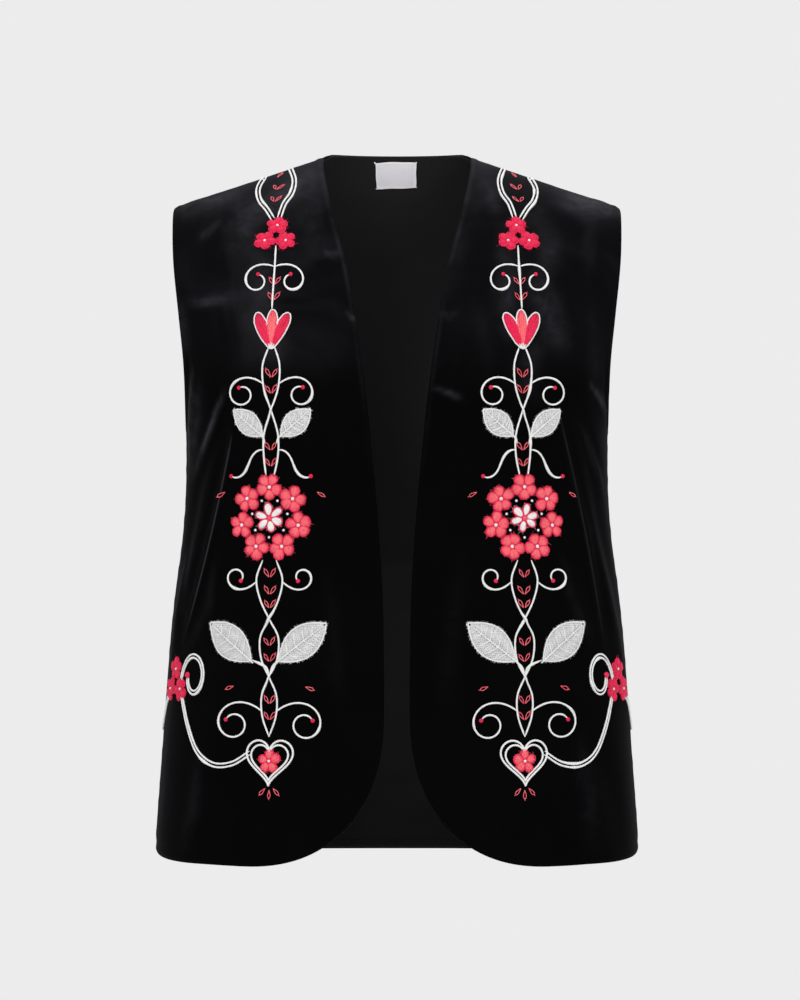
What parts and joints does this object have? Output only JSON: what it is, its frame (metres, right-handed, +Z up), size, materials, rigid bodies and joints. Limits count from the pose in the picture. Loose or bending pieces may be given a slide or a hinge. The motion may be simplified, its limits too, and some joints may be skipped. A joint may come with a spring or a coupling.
{
  "type": "velvet vest",
  "caption": "Open-front sleeveless velvet vest, hollow as worn, with a V neckline, rounded cutaway front corners, folk flower embroidery and a dark lining",
  "frame": {"origin": "where the wearer's shoulders hold the vest up: the middle of the body, half way down the slope of the shoulder seams, in the plane of the shoulder and side seams", "axes": "+Z up, the open front faces -Y, +X is the wearer's left"},
  "size_m": [0.4362, 0.2835, 0.6337],
  "materials": {
    "velvet": "black cotton velvet with a soft short nap and a cool grey sheen",
    "lining": "plain matt black lining cloth",
    "label": "white woven satin label, blank",
    "thread_white": "white and silver-white embroidery thread and twisted cord",
    "thread_coral": "coral red satin-stitched thread",
    "thread_crimson": "crimson satin-stitched thread"
  },
  "bodies": {
    "root": {"front_left": "velvet", "front_right": "velvet", "back": "velvet", "back_lining": "lining", "neck_label": "label", "bouquet_large_left": "thread_coral", "bouquet_large_right": "thread_coral", "bouquet_shoulder_left": "thread_crimson", "bouquet_shoulder_right": "thread_crimson", "bouquet_hip_left": "thread_crimson", "bouquet_hip_right": "thread_crimson", "tulip_chest_left": "thread_crimson", "tulip_chest_right": "thread_crimson", "leaf_large_inner_left": "thread_white", "leaf_large_inner_right": "thread_white", "leaf_large_outer_left": "thread_white", "leaf_large_outer_right": "thread_white", "leaf_small_inner_left": "thread_white", "leaf_small_inner_right": "thread_white", "leaf_small_outer_left": "thread_white", "leaf_small_outer_right": "thread_white"}
  },
  "joints": []
}
